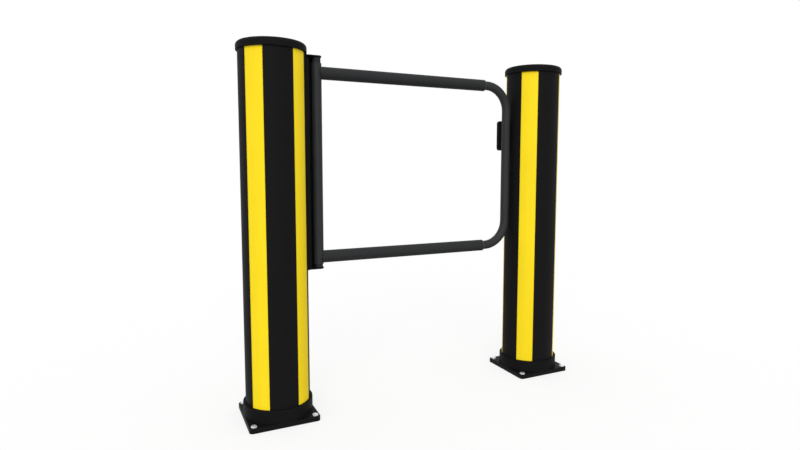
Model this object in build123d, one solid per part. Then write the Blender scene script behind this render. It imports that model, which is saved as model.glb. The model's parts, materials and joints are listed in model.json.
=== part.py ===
from build123d import *
import math
import os

os.makedirs("parts", exist_ok=True)

# Driving dimensions in millimetres, degrees for angles, z = 0 on the paving

# Posts
post_spacing = 1000.0
post_radius = 101.5
post_wall = 12.0
post_top = 1150.0

# Yellow strips let into the post tubes, a little below the outside
hinge_strip_angles = (45.0, 135.0, 225.5, 313.5)
latch_strip_angles = (45.0, 141.5, 225.5, 321.0)
strip_arc = 35.2
strip_thickness = 3.0
strip_recess = 1.5

# Collar and base plate
collar_wall = 7.7
collar_height = 40.5
collar_round = 1.5
plate_margin = 0.5
plate_thickness = 15.0
plate_corner = 12.0
plate_edge = 1.5
bolt_inset = 15.0
bolt_hole_radius = 7.0

# Cap
cap_overhang = 5.3
cap_height = 26.0
cap_round = 13.0
cap_edge = 0.5
cap_plug_depth = 40.0
cap_wall = 5.0

# Hinge bracket on the post
hinge_standoff = 40.0
hinge_height = 683.5
saddle_thickness = 4.0
saddle_half_width = 26.0
saddle_corner = 6.0
spine_lead = 8.0
spine_edge = 1.0
sleeve_clearance = 5.6
guard_clearance = 5.4
guard_thickness = 5.0
guard_reach = 22.0
hinge_plate_half_width = 16.0
hinge_plate_thickness = 5.0
hinge_plate_edge = 0.8
pin_radius = 8.0
pin_recess = 0.6
pin_length = 42.0
pin_edge = 1.0

# Gate leaf
tube_radius = 16.0
tube_wall = 2.6
bend_radius = 90.0
latch_gap = 5.2
stile_wall = 3.5
bush_wall = 5.25
bush_depth = 52.0
bush_end_gap = 0.5
top_neck = 17.5
bottom_neck = 10.5
top_rail_drop = 29.5
bottom_rail_rise = 22.5
sleeve_wall = 4.1
sleeve_lap = 8.5
sleeve_joint = 1.2
sleeve_near_edge = 1.0
sleeve_far_edge = 0.4
ring_length = 4.2
ring_edge = 0.4
ring_round = 1.8
ring_bend_gap = 11.7

# Closing stop on the latch post
stop_drop = 124.0
stop_height = 111.5
stop_setback = 1.2
stop_thickness = 12.0
stop_corner = 10.0
stop_edge = 1.5
stop_pad_gap = 5.4
stop_pad_thickness = 6.0
stop_pad_inset = 5.0

# Fits
seat_gap = 0.3
pin_fit = 0.05
overrun = 10.0

# Places that follow from the dimensions
collar_radius = post_radius + seat_gap + collar_wall
collar_top = plate_thickness + collar_height
plate_size = 2 * (collar_radius + plate_margin)
bolt_spacing = plate_size - 2 * bolt_inset
hinge_x = post_radius + hinge_standoff
hinge_top = post_top
hinge_bottom = hinge_top - hinge_height
spine_top = hinge_top - hinge_plate_thickness
spine_bottom = hinge_bottom + hinge_plate_thickness
stile_top = spine_top - bush_end_gap - top_neck
stile_bottom = spine_bottom + bush_end_gap + bottom_neck
rail_top_z = stile_top - top_rail_drop
rail_bottom_z = stile_bottom + bottom_rail_rise
loop_x = post_spacing - post_radius - latch_gap - tube_radius
sleeve_radius = tube_radius + seat_gap + sleeve_wall
spine_face_x = hinge_x - sleeve_radius - sleeve_clearance
guard_end_x = spine_face_x + guard_reach
guard_y = tube_radius + guard_clearance
guard_back_y = guard_y + guard_thickness
sleeve_start_x = hinge_x + tube_radius - sleeve_lap
ring_end_x = loop_x - bend_radius - ring_bend_gap
ring_start_x = ring_end_x - ring_length
sleeve_end_x = ring_start_x - seat_gap
stop_face_x = loop_x - tube_radius + stop_setback
stop_top = rail_top_z - stop_drop
stop_bottom = stop_top - stop_height
stop_pad_y = tube_radius + stop_pad_gap
stop_face_y = stop_pad_y + stop_pad_thickness

STAND = (Align.CENTER, Align.CENTER, Align.MIN)
CORNER = (Align.MIN, Align.MIN, Align.MIN)
ALONG_X = Rot(0, 90, 0)


def save(name, solid):
    """Write one named piece."""
    export_step(solid, "parts/" + name + ".step")


def upright(radius, one_end, other_end, x=0.0, y=0.0):
    """A round bar standing between two heights."""
    low = min(one_end, other_end)
    return Pos(x, y, low) * Cylinder(radius, abs(other_end - one_end), align=STAND)


def block(x_low, x_high, y_low, y_high, z_low, z_high):
    """A box between two corners."""
    return Pos(x_low, y_low, z_low) * Box(x_high - x_low, y_high - y_low, z_high - z_low, align=CORNER)


def sector(inner, outer, middle_angle, half_angle):
    """A slice of a flat ring, half_angle to each side of middle_angle."""
    reach = outer / math.cos(math.radians(half_angle)) + overrun
    near = math.radians(middle_angle - half_angle)
    far = math.radians(middle_angle + half_angle)
    near_corner = (reach * math.cos(near), reach * math.sin(near))
    far_corner = (reach * math.cos(far), reach * math.sin(far))
    wedge = Polygon((0, 0), near_corner, far_corner, align=None)
    return (Circle(outer) - Circle(inner)) & wedge


def lifted(profile, low, high):
    """A flat profile drawn up from the height low to the height high."""
    return Pos(0, 0, low) * extrude(profile, high - low)


def post_tube(strip_angles):
    """Extruded tube with one shallow groove for each strip."""
    floor = post_radius - strip_recess - strip_thickness - seat_gap
    half_angle = strip_arc / 2 + math.degrees(seat_gap / post_radius)
    profile = Circle(post_radius) - Circle(post_radius - post_wall)
    for angle in strip_angles:
        profile -= sector(floor, post_radius + overrun, angle, half_angle)
    return lifted(profile, plate_thickness, post_top)


def post_strip(angle):
    """One yellow strip in its groove."""
    outer = post_radius - strip_recess
    profile = sector(outer - strip_thickness, outer, angle, strip_arc / 2)
    return lifted(profile, plate_thickness, post_top)


def post_plate():
    """Square floor plate with rounded corners and an anchor hole in each corner."""
    plate = Box(plate_size, plate_size, plate_thickness, align=STAND)
    plate = fillet(plate.edges().filter_by(Axis.Z), plate_corner)
    plate = chamfer(plate.faces().sort_by(Axis.Z)[-1].edges(), plate_edge)
    for x_side in (-1, 1):
        for y_side in (-1, 1):
            x = x_side * bolt_spacing / 2
            y = y_side * bolt_spacing / 2
            plate -= upright(bolt_hole_radius, -overrun, plate_thickness + overrun, x, y)
    return plate


def post_collar():
    """Ring around the foot of the tube with a flat top and an eased edge."""
    collar = upright(collar_radius, plate_thickness, collar_top)
    collar = fillet(collar.edges().sort_by(Axis.Z)[-1], collar_round)
    return collar - upright(post_radius + seat_gap, plate_thickness - overrun, collar_top + overrun)


def post_cap():
    """Cap with a rounded shoulder, a rim that overhangs and a hollow plug in the tube."""
    plug_radius = post_radius - post_wall - seat_gap
    plug_end = post_top - cap_plug_depth
    cap_top = post_top + cap_height
    cap = upright(post_radius + cap_overhang, post_top, cap_top)
    cap = fillet(cap.edges().sort_by(Axis.Z)[-1], cap_round)
    cap = chamfer(cap.faces().sort_by(Axis.Z)[0].edges(), cap_edge)
    cap += upright(plug_radius, plug_end, post_top + cap_wall)
    return cap - upright(plug_radius - cap_wall, plug_end - overrun, cap_top - cap_wall)


def hinge_saddle():
    """Curved plate that lies against the post."""
    inner = post_radius + seat_gap
    half_angle = math.degrees(math.asin(saddle_half_width / inner))
    saddle = lifted(sector(inner, inner + saddle_thickness, 0, half_angle), hinge_bottom, hinge_top)
    return fillet(saddle.edges().sort_by(SortBy.LENGTH)[:4], saddle_corner)


def behind_saddle():
    """Space taken by the post and the saddle."""
    radius = post_radius + seat_gap + saddle_thickness + seat_gap
    return upright(radius, hinge_bottom - overrun, hinge_top + overrun)


def hinge_spine():
    """Upright bar between the two hinge plates, with a guard behind the turning stile."""
    bar = block(0, spine_face_x, -spine_lead, guard_back_y, spine_bottom, spine_top)
    front = bar.faces().sort_by(Axis.X)[-1].edges().filter_by(Axis.Z).sort_by(Axis.Y)[0]
    bar = chamfer(front, spine_edge)
    guard = block(0, guard_end_x, guard_y, guard_back_y, spine_bottom, spine_top)
    guard = chamfer(guard.faces().sort_by(Axis.X)[-1].edges().filter_by(Axis.Z), spine_edge)
    return bar + guard - behind_saddle()


def hinge_plate(low):
    """Round-ended plate that carries a pin and closes one end of the guard."""
    high = low + hinge_plate_thickness
    plate = block(0, hinge_x, -hinge_plate_half_width, hinge_plate_half_width, low, high)
    plate += upright(hinge_plate_half_width, low, high, hinge_x)
    plate += block(0, guard_end_x, 0, guard_back_y, low, high)
    plate -= behind_saddle()
    rims = plate.faces().sort_by(Axis.Z)
    plate = chamfer(rims[0].edges() + rims[-1].edges(), hinge_plate_edge)
    return plate - upright(pin_radius + pin_fit, low - overrun, high + overrun, hinge_x)


def hinge_pin(low):
    """Pin fixed in a hinge plate."""
    pin = upright(pin_radius, low, low + pin_length, hinge_x)
    return chamfer(pin.edges().filter_by(GeomType.CIRCLE), pin_edge)


def gate_stile():
    """Upright tube that turns on the pins."""
    stile = upright(tube_radius, stile_bottom, stile_top, hinge_x)
    return stile - upright(tube_radius - stile_wall, stile_bottom - overrun, stile_top + overrun, hinge_x)


def gate_bush(seat, plug_end, neck_end):
    """Bush pushed into one end of the stile, with a wider neck outside it."""
    bush = upright(tube_radius - stile_wall - seat_gap, seat, plug_end, hinge_x)
    bush += upright(pin_radius + pin_fit + bush_wall, seat, neck_end, hinge_x)
    return bush - upright(pin_radius + pin_fit, hinge_bottom, hinge_top, hinge_x)


def gate_loop():
    """One tube bent twice, with both ends shaped to the round of the stile."""
    upper = [(hinge_x, 0, rail_top_z), (loop_x, 0, rail_top_z)]
    lower = [(loop_x, 0, rail_bottom_z), (hinge_x, 0, rail_bottom_z)]
    path = FilletPolyline(*upper, *lower, radius=bend_radius)
    start = Plane(origin=path @ 0, z_dir=path % 0)
    loop = sweep(start * (Circle(tube_radius) - Circle(tube_radius - tube_wall)), path=path)
    return loop - upright(tube_radius + seat_gap, hinge_bottom, hinge_top, hinge_x)


def around_rail(radius, start_x, end_x, height):
    """A round bar along the rail at the given height."""
    bar = Cylinder(radius, end_x - start_x, align=STAND)
    return Pos(start_x, 0, height) * ALONG_X * bar


def rail_bore(start_x, end_x, height):
    """The space that a rail takes in what is pushed over it."""
    return around_rail(tube_radius + seat_gap, start_x - overrun, end_x + overrun, height)


def rail_sleeve(height):
    """Thick sleeve over a rail, shaped to the round of the stile at one end and cut square at the other."""
    sleeve = around_rail(sleeve_radius, sleeve_start_x, sleeve_end_x, height)
    rims = sleeve.edges().filter_by(GeomType.CIRCLE).sort_by(Axis.X)
    sleeve = chamfer(rims[-1], sleeve_far_edge)
    rims = sleeve.edges().filter_by(GeomType.CIRCLE).sort_by(Axis.X)
    sleeve = chamfer(rims[0], sleeve_near_edge)
    sleeve -= upright(tube_radius + sleeve_joint, hinge_bottom, hinge_top, hinge_x)
    return sleeve - rail_bore(sleeve_start_x, sleeve_end_x, height)


def rail_ring(height):
    """Narrow ring on a rail that closes the end of the sleeve, with a rounded outer edge."""
    ring = around_rail(sleeve_radius, ring_start_x, ring_end_x, height)
    rims = ring.edges().filter_by(GeomType.CIRCLE).sort_by(Axis.X)
    ring = fillet(rims[-1], ring_round)
    rims = ring.edges().filter_by(GeomType.CIRCLE).sort_by(Axis.X)
    ring = chamfer(rims[0], ring_edge)
    return ring - rail_bore(ring_start_x, ring_end_x, height)


def latch_post_space():
    """The space that the latch post takes in what is seated on it."""
    return upright(post_radius + seat_gap, stop_bottom - overrun, stop_top + overrun, post_spacing)


def stop_block():
    """Stop with rounded corners, shaped at its back to the round of the latch post."""
    back_y = stop_face_y + stop_thickness
    body = block(stop_face_x, post_spacing, stop_face_y, back_y, stop_bottom, stop_top)
    body = fillet(body.faces().sort_by(Axis.X)[0].edges().filter_by(Axis.Y), stop_corner)
    body = chamfer(body.faces().sort_by(Axis.Y)[-1].edges(), stop_edge)
    return body - latch_post_space()


def stop_pad():
    """Rubber pad on the face that the gate closes against."""
    low = stop_bottom + stop_pad_inset
    high = stop_top - stop_pad_inset
    pad = block(stop_face_x + stop_pad_inset, post_spacing, stop_pad_y, stop_face_y, low, high)
    pad = fillet(pad.faces().sort_by(Axis.X)[0].edges().filter_by(Axis.Y), stop_pad_inset)
    return pad - latch_post_space()


# Posts
hinge_post = ("hinge_post", 0, hinge_strip_angles)
latch_post = ("latch_post", post_spacing, latch_strip_angles)
for post, post_x, strip_angles in (hinge_post, latch_post):
    place = Pos(post_x, 0, 0)
    save(post + "_base_plate", place * post_plate())
    save(post + "_collar", place * post_collar())
    save(post + "_tube", place * post_tube(strip_angles))
    save(post + "_cap", place * post_cap())
    for number, angle in enumerate(strip_angles, 1):
        save(post + "_strip_" + str(number), place * post_strip(angle))

# Hinge bracket
save("hinge_saddle", hinge_saddle())
save("hinge_spine", hinge_spine())
save("hinge_top_plate", hinge_plate(spine_top))
save("hinge_bottom_plate", hinge_plate(hinge_bottom))
save("hinge_top_pin", hinge_pin(hinge_top - pin_recess - pin_length))
save("hinge_bottom_pin", hinge_pin(hinge_bottom + pin_recess))

# Gate leaf
save("gate_stile", gate_stile())
save("gate_top_bush", gate_bush(stile_top, stile_top - bush_depth, stile_top + top_neck))
save("gate_bottom_bush", gate_bush(stile_bottom, stile_bottom + bush_depth, stile_bottom - bottom_neck))
save("gate_loop", gate_loop())
for rail, height in (("top", rail_top_z), ("bottom", rail_bottom_z)):
    save("gate_" + rail + "_sleeve", rail_sleeve(height))
    save("gate_" + rail + "_ring", rail_ring(height))

# Closing stop
save("stop_block", stop_block())
save("stop_pad", stop_pad())
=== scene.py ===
import json
import math

import bpy
import numpy as np
from bpy.props import FloatProperty, FloatVectorProperty, PointerProperty
from mathutils import Matrix, Vector


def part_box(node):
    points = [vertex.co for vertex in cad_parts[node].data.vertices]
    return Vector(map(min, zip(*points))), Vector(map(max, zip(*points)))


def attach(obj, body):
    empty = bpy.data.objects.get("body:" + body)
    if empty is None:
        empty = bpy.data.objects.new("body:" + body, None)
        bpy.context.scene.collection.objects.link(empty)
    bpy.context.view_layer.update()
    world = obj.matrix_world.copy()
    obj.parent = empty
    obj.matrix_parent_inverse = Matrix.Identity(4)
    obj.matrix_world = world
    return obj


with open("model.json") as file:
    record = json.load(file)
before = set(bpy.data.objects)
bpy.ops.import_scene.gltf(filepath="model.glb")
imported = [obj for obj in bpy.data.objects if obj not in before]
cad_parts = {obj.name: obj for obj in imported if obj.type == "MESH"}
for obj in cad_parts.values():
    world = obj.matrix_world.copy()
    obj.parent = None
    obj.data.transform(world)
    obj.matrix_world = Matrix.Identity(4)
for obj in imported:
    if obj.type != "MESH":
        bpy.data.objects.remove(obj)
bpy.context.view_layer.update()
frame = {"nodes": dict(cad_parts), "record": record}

bl_info = {
    "name": "Pedestrian gate finishes",
    "version": (1, 0, 0),
    "blender": (4, 5, 0),
    "location": "3D View > Sidebar > Gate",
    "description": "Anchor bolts, washers, weld beads and finishes for a pedestrian swing gate",
    "category": "Object",
}

MM = 0.001
FULL_TURN = 2 * math.pi
X_AXIS, Z_AXIS = 0, 2

POSTS = ("hinge_post", "latch_post")
STRIPS = range(1, 5)
RAILS = ("top", "bottom")
NODES = frame["nodes"]
MOUNTS = {mount["name"]: mount for mount in frame["record"]["mounts"]}

# Values that a pattern is used over: one noise, two noises added, and a wave.
NOISE_SPAN, SUM_SPAN, FULL_SPAN = (0.3, 0.7), (0.7, 1.3), (0, 1)

# Sockets of a mix node that are meant for colours.
MIX_SHARE, MIX_FIRST, MIX_SECOND, MIX_RESULT = 0, 6, 7, 2

POLYMER_IOR, COAT_IOR = 1.5, 1.55
WHITE = (1, 1, 1, 1)

# Two faces that meet at more than this have a sharp edge.
SHARP_ANGLE = math.radians(45)

# Half the floor's width and how far the camera sees, in metres, and its sensor in millimetres.
FLOOR_HALF_WIDTH, VIEW_DEPTH, SENSOR_WIDTH = 30, 200, 36


def linear(code):
    """Linear colour of an sRGB hex code.

    A dark channel c gives c / 12.92, and others give ((c + 0.055) / 1.055) ^ 2.4.
    """
    channel = np.array([int(code[i : i + 2], 16) for i in (1, 3, 5)]) / 255
    dark = channel / 12.92
    bright = ((channel + 0.055) / 1.055) ** 2.4
    return tuple(float(c) for c in np.where(channel <= 0.04045, dark, bright))


def colour_property(name, description, code):
    """A colour that the user can change, given as an sRGB hex code."""
    return FloatVectorProperty(
        name=name,
        description=description,
        default=linear(code),
        size=3,
        min=0,
        max=1,
        subtype="COLOR",
    )


def length_property(name, description, millimetres):
    """A length that the user can change, given in millimetres."""
    return FloatProperty(
        name=name,
        description=description,
        default=millimetres * MM,
        min=0,
        subtype="DISTANCE",
        unit="LENGTH",
    )


def angle_property(name, description, degrees):
    """An angle that the user can change, given in degrees."""
    return FloatProperty(
        name=name, description=description, default=math.radians(degrees), subtype="ANGLE"
    )


class GateSizes(bpy.types.PropertyGroup):
    """Sizes of the pieces that are added to the gate."""

    head_flats: length_property(
        "Head across flats", "Width of an anchor bolt's head across its flats", 16.5
    )
    head_height: length_property("Head height", "Height of an anchor bolt's head", 2.6)
    shank_diameter: length_property("Shank", "Diameter of an anchor bolt's shank", 12)
    washer_diameter: length_property("Washer", "Outside diameter of a washer", 19)
    washer_bore: length_property("Washer bore", "Inside diameter of a washer", 13)
    washer_thickness: length_property("Washer thickness", "Thickness of a washer", 1.2)
    spine_weld: length_property("Bar weld", "Radius of the weld bead along the hinge bar", 2.2)
    weld_ripple: length_property(
        "Weld ripple", "Distance between the ripples of a weld bead", 2.6
    )


class GateColours(bpy.types.PropertyGroup):
    """Colours of the finishes."""

    black: colour_property("Black", "Black polymer of posts, caps, collars and stop", "#151516")
    yellow: colour_property("Yellow", "Yellow polymer of the strips", "#FBDD23")
    black_coat: colour_property(
        "Black coat", "Powder coat of base plates and hinge bracket", "#121213"
    )
    grey_coat: colour_property(
        "Grey coat", "Powder coat of the stile and the bent tube", "#2E2F30"
    )
    sleeve: colour_property("Sleeve", "Polymer of the rail sleeves", "#2D2E2F")
    # The ring's grey is set lighter than the sleeve's so that it shows as a light line at the
    # sleeve's end: a painted highlight, not only the ring's own colour.
    ring: colour_property("Ring", "Polymer of the rings that close the sleeves, lightened as a painted highlight", "#404244")
    zinc: colour_property("Zinc", "Plating of bolts and washers", "#F0F1F2")
    steel: colour_property("Steel", "Turned steel of the hinge pins", "#BDBEC0")
    nylon: colour_property("Bush", "Bearing polymer of the bushes", "#2A2B2C")
    rubber: colour_property("Rubber", "Rubber of the stop's pad", "#171717")
    floor: colour_property("Floor", "Matt paint of the studio floor", "#858585")


class GateStage(bpy.types.PropertyGroup):
    """Camera and light."""

    camera_place: FloatVectorProperty(
        name="Camera",
        description="Place of the camera",
        default=(-0.374558, -1.743995, 0.802356),
        size=3,
        subtype="XYZ",
        unit="LENGTH",
    )
    camera_yaw: angle_property(
        "Yaw", "Turn of the camera to the right of the gate's cross direction", 25.79
    )
    camera_pitch: angle_property("Pitch", "Tilt of the camera above the level", -5.148)
    camera_roll: angle_property("Roll", "Lean of the camera", 0.096)
    camera_lens: FloatProperty(
        name="Lens",
        description="Focal length on a sensor 36 mm wide",
        default=24.862,
        min=1,
        unit="CAMERA",
    )
    camera_shift: FloatVectorProperty(
        name="Shift",
        description="Shift of the lens in picture widths",
        default=(-0.01056, -0.01166),
        size=2,
    )
    sky_level: FloatProperty(
        name="Sky level",
        description="Brightness of the light that comes from all around",
        default=1.0,
        min=0,
    )
    lamp_level: FloatProperty(
        name="Lamp level",
        description="Light of the lamp on a white sheet that faces it",
        default=0.45,
        min=0,
    )
    lamp_spread: angle_property("Lamp spread", "Width of the lamp as an angle", 50)
    lamp_direction: FloatVectorProperty(
        name="Lamp direction",
        description="Direction from the gate to the lamp",
        default=(-0.383, -0.821, 0.423),
        size=3,
        subtype="DIRECTION",
    )


def node(tree, kind, sockets=None, **settings):
    """Add one node.

    Settings are its own attributes, and sockets maps an input to a value or to another node's
    output.
    """
    made = tree.nodes.new(kind)
    for name, value in settings.items():
        setattr(made, name, value)
    for name, value in (sockets or {}).items():
        if isinstance(value, bpy.types.NodeSocket):
            tree.links.new(value, made.inputs[name])
        else:
            made.inputs[name].default_value = value
    return made


def blank_tree(owner):
    """The node tree of a new material or world, emptied."""
    owner.use_nodes = True
    owner.node_tree.nodes.clear()
    return owner.node_tree


def opaque(colour):
    """A colour with full alpha."""
    return (*colour, 1.0)


def toned(colour, gain):
    """A colour made lighter or darker."""
    return tuple(min(1.0, c * gain) for c in colour)


def around(middle, shift):
    """Two values, one as far below a middle value as the other is above it."""
    return middle - shift, middle + shift


def surface(tree, tone, colours, sheen, roughness, height, depth, sockets):
    """Close the node tree of a material.

    Tone and sheen are each a pattern and the span of its values that is used. Over that span the
    colour goes from the first of colours to the second, and the roughness from its first to its
    second value. Height is the pattern that stands out by depth, and sockets are what else the
    shader is given.
    """
    pattern, (low, high) = tone
    share = node(tree, "ShaderNodeMapRange", {"Value": pattern, "From Min": low, "From Max": high})
    first, second = colours
    skin = node(
        tree,
        "ShaderNodeMix",
        {MIX_SHARE: share.outputs[0], MIX_FIRST: opaque(first), MIX_SECOND: opaque(second)},
        data_type="RGBA",
    )
    pattern, (low, high) = sheen
    smooth, rough = roughness
    gloss = node(
        tree,
        "ShaderNodeMapRange",
        {"Value": pattern, "From Min": low, "From Max": high, "To Min": smooth, "To Max": rough},
    )
    relief = node(tree, "ShaderNodeBump", {"Height": height, "Strength": 1.0, "Distance": depth})
    shader = node(
        tree,
        "ShaderNodeBsdfPrincipled",
        {
            "Base Color": skin.outputs[MIX_RESULT],
            "Roughness": gloss.outputs[0],
            "Normal": relief.outputs[0],
            **sockets,
        },
    )
    node(tree, "ShaderNodeOutputMaterial", {"Surface": shader.outputs[0]})


def extruded_polymer(name, colour, along, roughness, gloss):
    """Polymer pushed through a die along one axis and left as it comes.

    It gives the eye a satin skin with faint lines that run the length of the piece and a broad,
    barely seen unevenness of tone. The die lines are about 1 mm apart, finer than a pixel, so they
    are drawn 6 mm apart and 900 mm long.
    """
    line_pitch, line_length, line_depth, cloud_size = 6 * MM, 900 * MM, 0.05 * MM, 160 * MM
    tone_shift, sheen_shift = 0.035, 0.06
    material = bpy.data.materials.new(name)
    tree = blank_tree(material)
    place = node(tree, "ShaderNodeTexCoord").outputs["Object"]
    stretch = [1 / line_pitch] * 3
    stretch[along] = 1 / line_length
    drawn = node(tree, "ShaderNodeMapping", {"Vector": place, "Scale": stretch}).outputs[0]
    lines = node(
        tree, "ShaderNodeTexNoise", {"Vector": drawn, "Scale": 1.0, "Detail": 3.0, "Roughness": 0.6}
    ).outputs["Fac"]
    clouds = node(
        tree, "ShaderNodeTexNoise", {"Vector": place, "Scale": 1 / cloud_size, "Detail": 2.0}
    ).outputs["Fac"]
    both = node(tree, "ShaderNodeMath", {0: lines, 1: clouds}, operation="ADD").outputs[0]
    surface(
        tree,
        tone=(both, SUM_SPAN),
        colours=[toned(colour, gain) for gain in around(1, tone_shift)],
        sheen=(both, SUM_SPAN),
        roughness=around(roughness, sheen_shift),
        height=lines,
        depth=line_depth,
        sockets={"IOR": POLYMER_IOR, "Specular IOR Level": gloss},
    )
    return material


def moulded_polymer(name, colour, roughness, gloss):
    """Polymer moulded against a spark-eroded tool.

    It gives the eye an even, slightly pebbled satin skin. The pebbles are 0.4 mm wide, finer than
    a pixel, so they are drawn 2.5 mm wide, and the flow of the melt leaves soft patches of tone
    about 90 mm wide.
    """
    pebble, pebble_depth, patch = 2.5 * MM, 0.07 * MM, 90 * MM
    tone_shift, sheen_shift = 0.1, 0.07
    material = bpy.data.materials.new(name)
    tree = blank_tree(material)
    place = node(tree, "ShaderNodeTexCoord").outputs["Object"]
    grain = node(
        tree,
        "ShaderNodeTexNoise",
        {"Vector": place, "Scale": 1 / pebble, "Detail": 2.0, "Roughness": 0.5},
    ).outputs["Fac"]
    flow = node(
        tree,
        "ShaderNodeTexNoise",
        {"Vector": place, "Scale": 1 / patch, "Detail": 2.0, "Distortion": 0.8},
    ).outputs["Fac"]
    surface(
        tree,
        tone=(flow, NOISE_SPAN),
        colours=[toned(colour, gain) for gain in around(1, tone_shift)],
        sheen=(grain, NOISE_SPAN),
        roughness=around(roughness, sheen_shift),
        height=grain,
        depth=pebble_depth,
        sockets={"IOR": POLYMER_IOR, "Specular IOR Level": gloss},
    )
    return material


def powder_coat(name, colour, roughness, gloss):
    """Steel with a baked polyester powder coat.

    It gives the eye a satin film with the shallow waves of orange peel, 3 mm across and drawn 5 mm
    across so that they show, and a film that is a little thinner and glossier in patches of about
    60 mm.
    """
    peel, peel_depth, patch = 5 * MM, 0.09 * MM, 60 * MM
    tone_shift, sheen_shift = 0.08, 0.05
    material = bpy.data.materials.new(name)
    tree = blank_tree(material)
    place = node(tree, "ShaderNodeTexCoord").outputs["Object"]
    waves = node(
        tree,
        "ShaderNodeTexNoise",
        {"Vector": place, "Scale": 1 / peel, "Detail": 1.0, "Roughness": 0.4},
    ).outputs["Fac"]
    film = node(
        tree, "ShaderNodeTexNoise", {"Vector": place, "Scale": 1 / patch, "Detail": 2.0}
    ).outputs["Fac"]
    surface(
        tree,
        tone=(film, NOISE_SPAN),
        colours=[toned(colour, gain) for gain in around(1, tone_shift)],
        sheen=(film, NOISE_SPAN),
        roughness=around(roughness, sheen_shift),
        height=waves,
        depth=peel_depth,
        sockets={"IOR": COAT_IOR, "Specular IOR Level": gloss},
    )
    return material


def zinc_plate(name, colour):
    """Steel with bright zinc plating.

    It gives the eye a pale silver with a cool tint that comes and goes over 7 mm, and a fine
    frosting of crystals, 0.2 mm wide and drawn 1.2 mm wide so that it shows.
    """
    crystal, crystal_depth, tint_size = 1.2 * MM, 0.02 * MM, 7 * MM
    cool_tint = (0.9, 0.95, 1)
    material = bpy.data.materials.new(name)
    tree = blank_tree(material)
    place = node(tree, "ShaderNodeTexCoord").outputs["Object"]
    frost = node(
        tree, "ShaderNodeTexNoise", {"Vector": place, "Scale": 1 / crystal, "Detail": 2.0}
    ).outputs["Fac"]
    tint = node(
        tree, "ShaderNodeTexNoise", {"Vector": place, "Scale": 1 / tint_size, "Detail": 1.0}
    ).outputs["Fac"]
    surface(
        tree,
        tone=(tint, FULL_SPAN),
        colours=([c * gain for c, gain in zip(colour, cool_tint)], colour),
        sheen=(frost, NOISE_SPAN),
        roughness=(0.48, 0.62),
        height=frost,
        depth=crystal_depth,
        sockets={"Metallic": 1.0},
    )
    return material


def turned_steel(name, colour, axis):
    """Bare steel faced and turned on a lathe.

    It gives the eye rings about the pin's axis, left by a feed of 0.2 mm and drawn 0.8 mm apart so
    that they show. A wave texture of scale 1 runs through 20 radians in a unit of length.
    """
    feed, ring_depth, shade = 0.8 * MM, 0.02 * MM, 0.85
    waves_per_unit = 20 / FULL_TURN
    material = bpy.data.materials.new(name)
    tree = blank_tree(material)
    place = node(tree, "ShaderNodeTexCoord").outputs["Object"]
    centred = node(
        tree, "ShaderNodeMapping", {"Vector": place, "Location": (-axis.x, -axis.y, 0)}
    ).outputs[0]
    scale = 1 / (feed * waves_per_unit)
    rings = node(
        tree,
        "ShaderNodeTexWave",
        {"Vector": centred, "Scale": scale, "Distortion": 0.4, "Detail": 1.0},
        wave_type="RINGS",
        rings_direction="Z",
    ).outputs["Fac"]
    surface(
        tree,
        tone=(rings, FULL_SPAN),
        colours=(toned(colour, shade), colour),
        sheen=(rings, FULL_SPAN),
        roughness=(0.28, 0.42),
        height=rings,
        depth=ring_depth,
        sockets={"Metallic": 1.0},
    )
    return material


def dress(names, material):
    """Give frame nodes their finish."""
    for name in names:
        slots = NODES[name].data.materials
        slots.clear()
        slots.append(material)


def skin_mesh(name, points, closed_rows=False, poles=()):
    """A mesh from a grid of points whose columns close on themselves.

    Neighbouring points are joined by quads. Where closed_rows is true the last row joins the
    first, as on a ring, and otherwise poles holds the two points that close the first and the last
    row with a fan of triangles.
    """
    rows, columns = points.shape[:2]
    index = np.arange(rows * columns).reshape(rows, columns)
    ahead = np.roll(index, -1, axis=1)
    above, above_ahead = np.roll(index, -1, axis=0), np.roll(ahead, -1, axis=0)
    last = rows if closed_rows else rows - 1
    quads = np.stack([index, ahead, above_ahead, above], axis=-1)[:last].reshape(-1, 4)
    vertices = points.reshape(-1, 3)
    corners = [quads.ravel()]
    sizes = [np.full(len(quads), 4)]
    if len(poles):
        vertices = np.vstack([vertices, poles])
        foot, crown = rows * columns, rows * columns + 1
        under = np.stack([np.full(columns, foot), ahead[0], index[0]], axis=-1)
        over = np.stack([np.full(columns, crown), index[-1], ahead[-1]], axis=-1)
        corners += [under.ravel(), over.ravel()]
        sizes += [np.full(2 * columns, 3)]
    corners, sizes = np.concatenate(corners), np.concatenate(sizes)
    mesh = bpy.data.meshes.new(name)
    mesh.vertices.add(len(vertices))
    mesh.vertices.foreach_set("co", vertices.astype(np.float32).ravel())
    mesh.loops.add(len(corners))
    mesh.loops.foreach_set("vertex_index", corners.astype(np.int32))
    mesh.polygons.add(len(sizes))
    mesh.polygons.foreach_set("loop_start", (np.cumsum(sizes) - sizes).astype(np.int32))
    mesh.update(calc_edges=True)
    mesh.polygons.foreach_set("use_smooth", np.ones(len(sizes), dtype=bool))
    mesh.set_sharp_from_angle(angle=SHARP_ANGLE)
    if mesh.validate():
        raise RuntimeError(name + " has faces that do not fit together")
    return mesh


def add_piece(name, mesh, material, body):
    """Put a new piece in the scene and let it ride on a body of the gate."""
    piece = bpy.data.objects.new(name, mesh)
    mesh.materials.append(material)
    bpy.context.scene.collection.objects.link(piece)
    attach(piece, body)


def anchors(piece):
    """Name and place of a piece at every anchor.

    The places are on the tops of the base plates, at the bolt patterns in the record.
    """
    for post in POSTS:
        pattern = MOUNTS[post + "_anchors"]
        x, y = pattern["pos_m"][:2]
        half_x = pattern["dims"]["spacing_x_mm"] * MM / 2
        half_y = pattern["dims"]["spacing_y_mm"] * MM / 2
        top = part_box(post + "_base_plate")[1].z
        corners = [(x + i * half_x, y + j * half_y, top) for i in (-1, 1) for j in (-1, 1)]
        for number, corner in enumerate(corners, 1):
            yield f"{post}_{piece}_{number}", np.array(corner)


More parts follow.
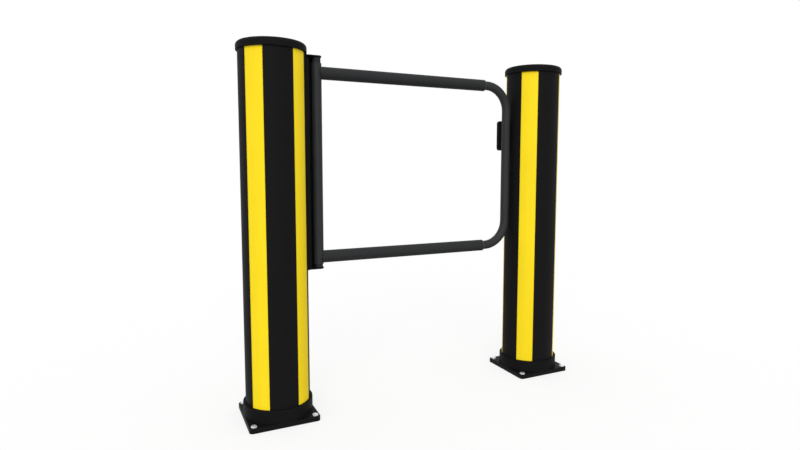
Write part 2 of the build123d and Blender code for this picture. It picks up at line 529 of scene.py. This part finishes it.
def bolt_skin(sizes, turn, foot):
    """Points of a hexagon-headed bolt, row by row upwards, and the two that close its ends.

    Seen from above the head is a hexagon with eased corners: 1 / r ^ p is the sum over its three
    pairs of flats of (|cos(angle - flat)| / half width) ^ p. The crown is turned to a cone of 30
    degrees: z falls below the top by tan 30 times how far r lies outside the chamfer circle.
    Heights are measured from the seat of the head.
    """
    columns, side_rows, cone_rows, flat_rows = 144, 6, 5, 6
    easing, crown_slope, chamfer_share = 60, math.tan(math.radians(30)), 0.93
    half_width, shank = sizes.head_flats / 2, sizes.shank_diameter / 2
    seat_rise, tip, top = 0.4 * MM, 1.2 * MM, sizes.head_height
    chamfer = chamfer_share * half_width
    angle = np.linspace(0, FULL_TURN, columns, endpoint=False)
    flats = np.arange(3)[:, None] * math.pi / 3
    across = np.abs(np.cos(angle - turn - flats) / half_width)
    plan = np.sum(across**easing, axis=0) ** (-1 / easing)
    edge = top - crown_slope * np.maximum(plan - chamfer, 0)
    side = np.linspace(0, 1, side_rows)[:, None]
    slope = np.linspace(0, 1, cone_rows)[1:, None]
    flat = np.linspace(1, 0, flat_rows)[1:-1, None]
    level = np.ones(columns)
    profile = [
        ((shank - tip) * level, foot * level),
        (shank * level, (foot + tip) * level),
        (shank * level, 0 * level),
        (chamfer * level, 0 * level),
        (chamfer * level, seat_rise * level),
        (plan + 0 * side, seat_rise + (edge - seat_rise) * side),
        (plan + (chamfer - plan) * slope, edge + (top - edge) * slope),
        (chamfer * flat * level, top * level + 0 * flat),
    ]
    radius, height = (np.vstack(rows) for rows in zip(*profile))
    points = np.stack([radius * np.cos(angle), radius * np.sin(angle), height], axis=-1)
    return points, np.array([[0, 0, foot], [0, 0, top]])


def washer_skin(sizes):
    """Points of a flat washer: a rectangle with eased corners carried round the Z axis.

    The section is a superellipse of power 8: across it goes as sign(cos v) |cos v| ^ (2/8), up it
    goes as sign(sin v) |sin v| ^ (2/8).
    """
    columns, rows, exponent = 72, 40, 2 / 8
    inner, outer = sizes.washer_bore / 2, sizes.washer_diameter / 2
    angle = np.linspace(0, FULL_TURN, columns, endpoint=False)
    section = np.linspace(0, FULL_TURN, rows, endpoint=False)[:, None]
    across = np.sign(np.cos(section)) * np.abs(np.cos(section)) ** exponent
    up = np.sign(np.sin(section)) * np.abs(np.sin(section)) ** exponent
    radius = (inner + outer) / 2 + (outer - inner) / 2 * across
    height = sizes.washer_thickness / 2 * (1 + up) * np.ones(columns)
    return np.stack([radius * np.cos(angle), radius * np.sin(angle), height], axis=-1)


def bead_skin(sizes, x, y, low, high, facing):
    """Points of an upright weld bead, row by row upwards, and the two that close its ends.

    The bead is a level circle carried up the line at x, y: point = line + r (cos v, sin v, 0).
    Its radius r swells at each ripple as 1 + depth cos(full turn z / ripple), and it closes at
    both ends as the square root of 1 - t ^ 30, for t from -1 at the foot to 1 at the top. Facing
    is the angle that v starts from.
    """
    columns, rows, depth, taper = 14, 1320, 0.06, 30
    share = np.linspace(-1, 1, rows + 2)
    z = (low + high) / 2 + (high - low) / 2 * share
    ripple = 1 + depth * np.cos(FULL_TURN * z / sizes.weld_ripple)
    radius = (sizes.spine_weld * ripple * np.sqrt(1 - share**taper))[:, None]
    angle = facing + np.linspace(0, FULL_TURN, columns, endpoint=False)
    height = z[:, None] * np.ones(columns)
    points = np.stack([x + radius * np.cos(angle), y + radius * np.sin(angle), height], axis=-1)
    return points[1:-1], points[[0, -1], 0]


class GATE_OT_dress_posts(bpy.types.Operator):
    """Finish the two posts: tubes, strips, caps, collars and base plates"""

    bl_idname = "gate.dress_posts"
    bl_label = "Finish posts"

    def execute(self, context):
        colours = context.scene.gate_colours
        tube = extruded_polymer(
            "extruded black polypropylene",
            colours.black,
            along=Z_AXIS,
            roughness=0.55,
            gloss=0.04,
        )
        strip = extruded_polymer(
            "extruded yellow polypropylene",
            colours.yellow,
            along=Z_AXIS,
            roughness=0.45,
            gloss=0.06,
        )
        moulded = moulded_polymer(
            "moulded black polypropylene", colours.black, roughness=0.55, gloss=0.03
        )
        plate = powder_coat(
            "black powder coated steel plate", colours.black_coat, roughness=0.5, gloss=0.05
        )
        for post in POSTS:
            dress([post + "_tube"], tube)
            dress([f"{post}_strip_{number}" for number in STRIPS], strip)
            dress([post + "_cap", post + "_collar"], moulded)
            dress([post + "_base_plate"], plate)
        return {"FINISHED"}


class GATE_OT_dress_hinge(bpy.types.Operator):
    """Finish the hinge bracket and its pins"""

    bl_idname = "gate.dress_hinge"
    bl_label = "Finish hinge"

    def execute(self, context):
        colours = context.scene.gate_colours
        coat = powder_coat(
            "black powder coated steel bracket", colours.black_coat, roughness=0.5, gloss=0.05
        )
        dress(["hinge_saddle", "hinge_spine", "hinge_top_plate", "hinge_bottom_plate"], coat)
        low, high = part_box("hinge_top_pin")
        pin = turned_steel("turned steel pin", colours.steel, axis=(low + high) / 2)
        dress(["hinge_top_pin", "hinge_bottom_pin"], pin)
        return {"FINISHED"}


class GATE_OT_dress_leaf(bpy.types.Operator):
    """Finish the gate leaf: stile, bent tube, sleeves, rings and bushes"""

    bl_idname = "gate.dress_leaf"
    bl_label = "Finish leaf"

    def execute(self, context):
        colours = context.scene.gate_colours
        coat = powder_coat(
            "graphite powder coated steel tube", colours.grey_coat, roughness=0.45, gloss=0.1
        )
        sleeve = extruded_polymer(
            "extruded graphite polymer sleeve",
            colours.sleeve,
            along=X_AXIS,
            roughness=0.5,
            gloss=0.06,
        )
        # The ring's lighter grey is partly painted highlight along the sleeve's end.
        ring = moulded_polymer("moulded grey nylon lightened as painted highlight", colours.ring, roughness=0.5, gloss=0.08)
        bush = moulded_polymer(
            "moulded graphite bearing nylon", colours.nylon, roughness=0.5, gloss=0.06
        )
        dress(["gate_stile", "gate_loop"], coat)
        for rail in RAILS:
            dress([f"gate_{rail}_sleeve"], sleeve)
            dress([f"gate_{rail}_ring"], ring)
            dress([f"gate_{rail}_bush"], bush)
        return {"FINISHED"}


class GATE_OT_dress_stop(bpy.types.Operator):
    """Finish the closing stop and its pad"""

    bl_idname = "gate.dress_stop"
    bl_label = "Finish stop"

    def execute(self, context):
        colours = context.scene.gate_colours
        block = moulded_polymer("moulded black nylon", colours.black, roughness=0.55, gloss=0.04)
        pad = moulded_polymer("moulded black rubber", colours.rubber, roughness=0.7, gloss=0.04)
        dress(["stop_block"], block)
        dress(["stop_pad"], pad)
        return {"FINISHED"}


class GATE_OT_add_bolts(bpy.types.Operator):
    """Add the anchor bolts that hold the base plates down"""

    bl_idname = "gate.add_bolts"
    bl_label = "Add anchor bolts"

    def execute(self, context):
        """Each bolt is turned on from the last one, and its foot stays clear of the floor."""
        sizes = context.scene.gate_sizes
        zinc = zinc_plate("bright zinc plated steel bolt", context.scene.gate_colours.zinc)
        turn_step, foot_clearance = math.radians(23), 1.5 * MM
        for count, (name, place) in enumerate(anchors("bolt")):
            seat = place + [0, 0, sizes.washer_thickness]
            points, poles = bolt_skin(sizes, count * turn_step, foot_clearance - seat[2])
            mesh = skin_mesh(name, points + seat, poles=poles + seat)
            add_piece(name, mesh, zinc, "posts")
        return {"FINISHED"}


class GATE_OT_add_washers(bpy.types.Operator):
    """Add a washer under the head of each anchor bolt"""

    bl_idname = "gate.add_washers"
    bl_label = "Add washers"

    def execute(self, context):
        zinc = zinc_plate("bright zinc plated steel washer", context.scene.gate_colours.zinc)
        points = washer_skin(context.scene.gate_sizes)
        for name, place in anchors("washer"):
            mesh = skin_mesh(name, points + place, closed_rows=True)
            add_piece(name, mesh, zinc, "posts")
        return {"FINISHED"}


class GATE_OT_add_spine_welds(bpy.types.Operator):
    """Add the weld bead along each side of the hinge bar"""

    bl_idname = "gate.add_spine_welds"
    bl_label = "Add bar welds"

    def execute(self, context):
        """A bead's line is in the corner between the bar's side and the round of the saddle, where
        x = sqrt(saddle radius ^ 2 - y ^ 2), lifted out at 45 degrees by a share of its radius."""
        sizes = context.scene.gate_sizes
        coat = powder_coat(
            "black powder coat over a weld",
            context.scene.gate_colours.black_coat,
            roughness=0.5,
            gloss=0.05,
        )
        end_gap, lift_share = 3 * MM, 0.35
        lift = lift_share * sizes.spine_weld
        saddle_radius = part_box("hinge_saddle")[1].x
        low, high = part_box("hinge_spine")
        for side, corner_y in (("front", low.y), ("back", high.y)):
            corner_x = math.sqrt(saddle_radius**2 - corner_y**2)
            facing = math.copysign(FULL_TURN / 8, corner_y)
            x, y = corner_x + lift * math.cos(facing), corner_y + lift * math.sin(facing)
            points, poles = bead_skin(sizes, x, y, low.z + end_gap, high.z - end_gap, facing)
            name = "hinge_spine_weld_" + side
            mesh = skin_mesh(name, points, poles=poles)
            add_piece(name, mesh, coat, "posts")
        return {"FINISHED"}


class GATE_OT_set_stage(bpy.types.Operator):
    """Set up the floor, the light and the camera"""

    bl_idname = "gate.set_stage"
    bl_label = "Set stage"

    def execute(self, context):
        scene = context.scene
        stage = scene.gate_stage
        to_lamp = Vector(stage.lamp_direction).normalized()
        scene.view_settings.view_transform = "Standard"
        self.lay_floor(scene, stage, to_lamp)
        self.light(scene, stage, to_lamp)
        self.aim_camera(scene, stage)
        return {"FINISHED"}

    def lay_floor(self, scene, stage, to_lamp):
        """A wide pale floor. Where the eye, or a shiny piece, looks at it, it glows by what it
        lacks of white in open light, so that it is white with the soft shadow of the gate on it."""
        half = FLOOR_HALF_WIDTH
        corners = [(-half, -half, 0), (half, -half, 0), (half, half, 0), (-half, half, 0)]
        mesh = bpy.data.meshes.new("floor")
        mesh.from_pydata(corners, [], [(0, 1, 2, 3)])
        floor = bpy.data.objects.new("floor", mesh)
        scene.collection.objects.link(floor)
        paint = scene.gate_colours.floor
        open_light = stage.sky_level + stage.lamp_level * to_lamp.z
        lack = 1 - paint.r * open_light
        material = bpy.data.materials.new("matt floor paint")
        tree = blank_tree(material)
        matt = node(tree, "ShaderNodeBsdfDiffuse", {"Color": opaque(paint)})
        seen = self.seen_directly(tree)
        strength = node(tree, "ShaderNodeMath", {0: seen, 1: lack}, operation="MULTIPLY")
        glow = node(tree, "ShaderNodeEmission", {"Strength": strength.outputs[0]})
        both = node(tree, "ShaderNodeAddShader", {0: matt.outputs[0], 1: glow.outputs[0]})
        node(tree, "ShaderNodeOutputMaterial", {"Surface": both.outputs[0]})
        mesh.materials.append(material)

    def light(self, scene, stage, to_lamp):
        """Even light from all around and one wide lamp on the left, in front and above."""
        scene.world = bpy.data.worlds.new("studio")
        tree = blank_tree(scene.world)
        lit = node(tree, "ShaderNodeBackground", {"Color": WHITE, "Strength": stage.sky_level})
        white = node(tree, "ShaderNodeBackground", {"Color": WHITE, "Strength": 1.0})
        seen = self.seen_directly(tree)
        mixed = node(
            tree, "ShaderNodeMixShader", {0: seen, 1: lit.outputs[0], 2: white.outputs[0]}
        )
        node(tree, "ShaderNodeOutputWorld", {"Surface": mixed.outputs[0]})
        lamp = bpy.data.lights.new("wide lamp", "SUN")
        lamp.energy = stage.lamp_level * math.pi
        lamp.angle = stage.lamp_spread
        holder = bpy.data.objects.new("wide lamp", lamp)
        holder.rotation_mode = "QUATERNION"
        holder.rotation_quaternion = to_lamp.to_track_quat("Z", "Y")
        scene.collection.objects.link(holder)

    def aim_camera(self, scene, stage):
        """A camera at the viewing angle, from its place, its yaw, pitch and roll."""
        yaw, pitch, roll = stage.camera_yaw, stage.camera_pitch, stage.camera_roll
        level = Vector((math.cos(yaw), -math.sin(yaw), 0))
        ahead = Vector((math.sin(yaw), math.cos(yaw), 0))
        forward = math.cos(pitch) * ahead + Vector((0, 0, math.sin(pitch)))
        upright = level.cross(forward)
        right = math.cos(roll) * level + math.sin(roll) * upright
        up = math.cos(roll) * upright - math.sin(roll) * level
        lens = bpy.data.cameras.new("camera")
        lens.sensor_fit = "HORIZONTAL"
        lens.sensor_width = SENSOR_WIDTH
        lens.lens = stage.camera_lens
        lens.shift_x, lens.shift_y = stage.camera_shift
        lens.clip_end = VIEW_DEPTH
        camera = bpy.data.objects.new("camera", lens)
        turn = Matrix((right, up, -forward)).transposed().to_4x4()
        camera.matrix_world = Matrix.Translation(stage.camera_place) @ turn
        scene.collection.objects.link(camera)
        scene.camera = camera

    @staticmethod
    def seen_directly(tree):
        """1 for rays from the eye, from a mirror and through glass, 0 for others."""
        rays = node(tree, "ShaderNodeLightPath").outputs
        seen = rays["Is Camera Ray"]
        for kind in ("Is Glossy Ray", "Is Transmission Ray"):
            either = node(tree, "ShaderNodeMath", {0: seen, 1: rays[kind]}, operation="MAXIMUM")
            seen = either.outputs[0]
        return seen


OPERATORS = (
    GATE_OT_dress_posts,
    GATE_OT_dress_hinge,
    GATE_OT_dress_leaf,
    GATE_OT_dress_stop,
    GATE_OT_add_bolts,
    GATE_OT_add_washers,
    GATE_OT_add_spine_welds,
    GATE_OT_set_stage,
)
GROUPS = {"gate_sizes": GateSizes, "gate_colours": GateColours, "gate_stage": GateStage}


class VIEW3D_PT_gate(bpy.types.Panel):
    """Sizes, colours and steps of the gate"""

    bl_label = "Pedestrian gate"
    bl_space_type = "VIEW_3D"
    bl_region_type = "UI"
    bl_category = "Gate"

    def draw(self, context):
        for name, group in GROUPS.items():
            box = self.layout.box()
            for entry in group.__annotations__:
                box.prop(getattr(context.scene, name), entry)
        for step in OPERATORS:
            self.layout.operator(step.bl_idname)


CLASSES = (*GROUPS.values(), *OPERATORS, VIEW3D_PT_gate)


def register():
    """Make the classes known and give the scene its settings."""
    for item in CLASSES:
        bpy.utils.register_class(item)
    for name, group in GROUPS.items():
        setattr(bpy.types.Scene, name, PointerProperty(type=group))


def unregister():
    """Take the settings and the classes away again."""
    for name in GROUPS:
        delattr(bpy.types.Scene, name)
    for item in reversed(CLASSES):
        bpy.utils.unregister_class(item)


def main():
    """Run every step in order."""
    register()
    bpy.ops.gate.dress_posts()
    bpy.ops.gate.dress_hinge()
    bpy.ops.gate.dress_leaf()
    bpy.ops.gate.dress_stop()
    bpy.ops.gate.add_bolts()
    bpy.ops.gate.add_washers()
    bpy.ops.gate.add_spine_welds()
    bpy.ops.gate.set_stage()


if __name__ == "__main__":
    main()
